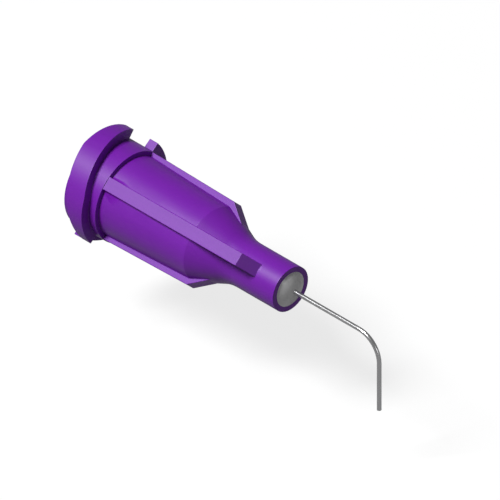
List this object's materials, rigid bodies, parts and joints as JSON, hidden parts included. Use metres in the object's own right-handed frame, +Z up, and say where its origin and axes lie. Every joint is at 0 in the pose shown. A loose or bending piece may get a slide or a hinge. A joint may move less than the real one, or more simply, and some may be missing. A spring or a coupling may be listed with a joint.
{
  "type": "dispensing needle tip",
  "caption": "Ribbed luer-lock hub that carries a thin blunt stainless needle bent to a right angle, for dispensing small dots of adhesive or flux.",
  "frame": {"origin": "centre of the luer socket's mouth, in the plane of the hub's rear face", "axes": "+X along the hub towards the needle, +Z up, with the needle's tip bent down towards -Z, and +Y to the left of a viewer who looks along +X"},
  "size_m": [0.0255, 0.0078, 0.0093],
  "materials": {
    "hub_plastic": "moulded polypropylene, smooth satin",
    "needle_steel": "drawn stainless tube, bright",
    "bead_epoxy": "cured grey epoxy, smooth meniscus"
  },
  "bodies": {
    "root": {"hub": "hub_plastic", "needle_tube": "needle_steel", "adhesive_bead": "bead_epoxy"}
  },
  "joints": []
}
